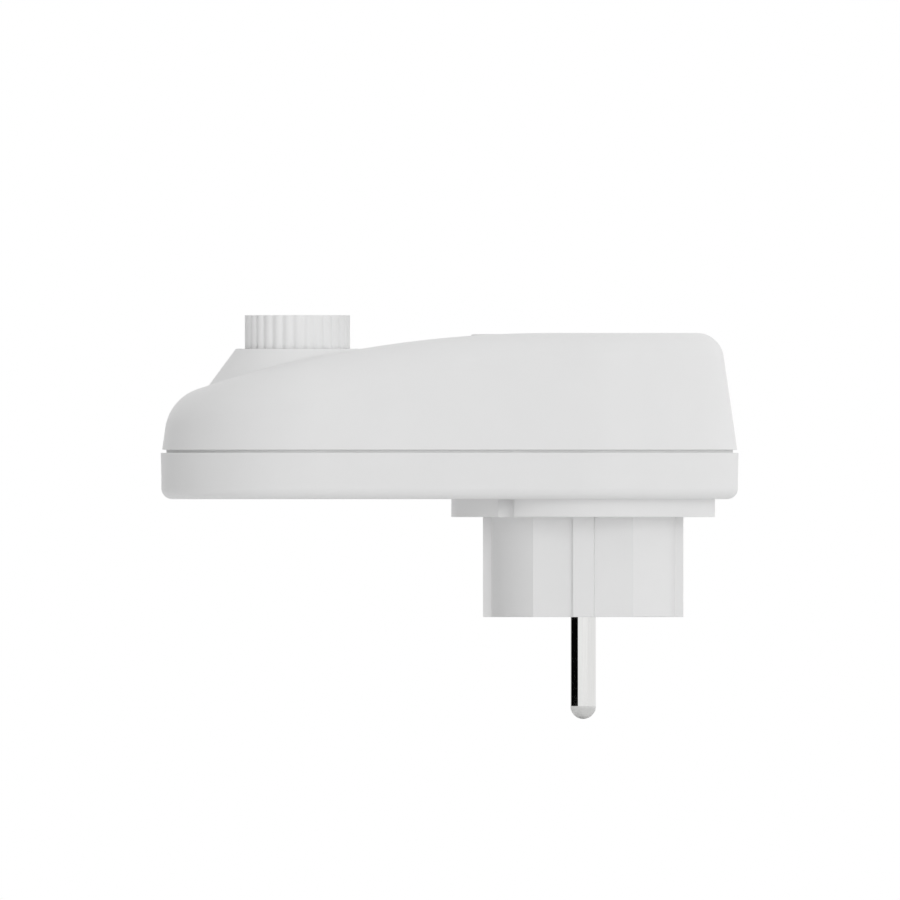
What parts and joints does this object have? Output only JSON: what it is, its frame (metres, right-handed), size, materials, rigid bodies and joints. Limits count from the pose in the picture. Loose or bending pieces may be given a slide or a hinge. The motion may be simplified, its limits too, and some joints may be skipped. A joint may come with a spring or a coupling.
{
  "type": "plug in power meter",
  "caption": "Plug-in power meter: earthed round-pin plug below, recessed outlet above, sloping rounded housing with a fluted selector knob and small display.",
  "frame": {"origin": "centre of the plug's end face, midway between the two pins where they come out", "axes": "+Z from the pins to the outlet, +X from the selector knob to the outlet end, +Y completes a right-handed frame through the two pins"},
  "size_m": [0.1078, 0.058, 0.0754],
  "materials": {
    "casing": "fine satin moulded plastic, off-white",
    "insert_plastic": "fine satin moulded plastic, off-white",
    "knob_plastic": "satin moulded plastic, off-white",
    "label": "blank matt film label",
    "steel": "zinc plated",
    "pin_nickel": "bright nickel plate",
    "brass": "bare",
    "earth_metal": "nickel plated strip",
    "inner_plastic": "moulded",
    "shutter_plastic": "satin",
    "capacitor_body": "moulded box",
    "capacitor_sleeve": "heat-shrunk sleeve",
    "varistor_body": "dipped coating",
    "fuse_glass": "ceramic tube with plated caps",
    "shunt_alloy": "bare resistance alloy",
    "component_plastic": "moulded",
    "connector_plastic": "moulded",
    "circuit_board": "solder mask on glass fibre",
    "lead_brown": "insulated wire",
    "lead_blue": "insulated wire",
    "lens": "clear hard-coated window",
    "gasket": "soft",
    "lcd_glass": "reflective liquid crystal cell",
    "ribbon_film": "polyimide film",
    "shaft_plastic": "moulded"
  },
  "bodies": {
    "housing": {"lower_shell": "casing", "upper_shell": "casing", "rating_label": "label", "housing_screws": "steel", "plug_insert": "insert_plastic", "line_pin": "pin_nickel", "neutral_pin": "pin_nickel", "line_contact": "brass", "neutral_contact": "brass", "contact_carrier": "inner_plastic", "carrier_screws": "steel", "earth_plug_strip": "earth_metal", "earth_outlet_strip": "earth_metal", "earth_rivets": "brass", "socket_cup": "insert_plastic", "socket_base": "insert_plastic", "shutter_spring": "steel", "shutter_screw": "steel", "dropper_capacitor": "capacitor_body", "filter_capacitor": "capacitor_sleeve", "varistor": "varistor_body", "fuse_link": "fuse_glass", "shunt_resistor": "shunt_alloy", "backup_cell": "steel", "cell_holder": "component_plastic", "rectifier": "component_plastic", "metering_chip": "component_plastic", "controller_chip": "component_plastic", "crystal": "steel", "board_terminals": "brass", "board_connector": "connector_plastic", "selector_terminals": "brass", "main_board": "circuit_board", "board_screws": "steel", "line_in_lead": "lead_brown", "line_out_lead": "lead_brown", "neutral_lead": "lead_blue", "display_lens": "lens", "lens_gasket": "gasket", "lcd_cell": "lcd_glass", "lcd_holder": "inner_plastic", "zebra_strips": "gasket", "display_board": "circuit_board", "display_screws": "steel", "display_connector": "connector_plastic", "display_ribbon": "ribbon_film", "selector_base": "component_plastic", "selector_cover": "steel"},
    "knob": {"knob": "knob_plastic", "knob_clip": "steel", "selector_shaft": "shaft_plastic", "selector_circlip": "steel", "selector_rotor": "inner_plastic", "selector_wiper": "brass"},
    "shutter": {"shutter": "shutter_plastic"}
  },
  "joints": [
    {"name": "knob_turn", "type": "hinge", "parent": "housing", "child": "knob", "pos_m": [-0.0533, 0, 0.045], "axis": [0, 0, 1], "range_deg": [-150, 150]},
    {"name": "shutter_turn", "type": "hinge", "parent": "housing", "child": "shutter", "pos_m": [0, 0, 0.031], "axis": [0, 0, 1], "range_deg": [0, 35], "stiffness_Nm_per_rad": 0.01, "springref_deg": -11.46}
  ]
}
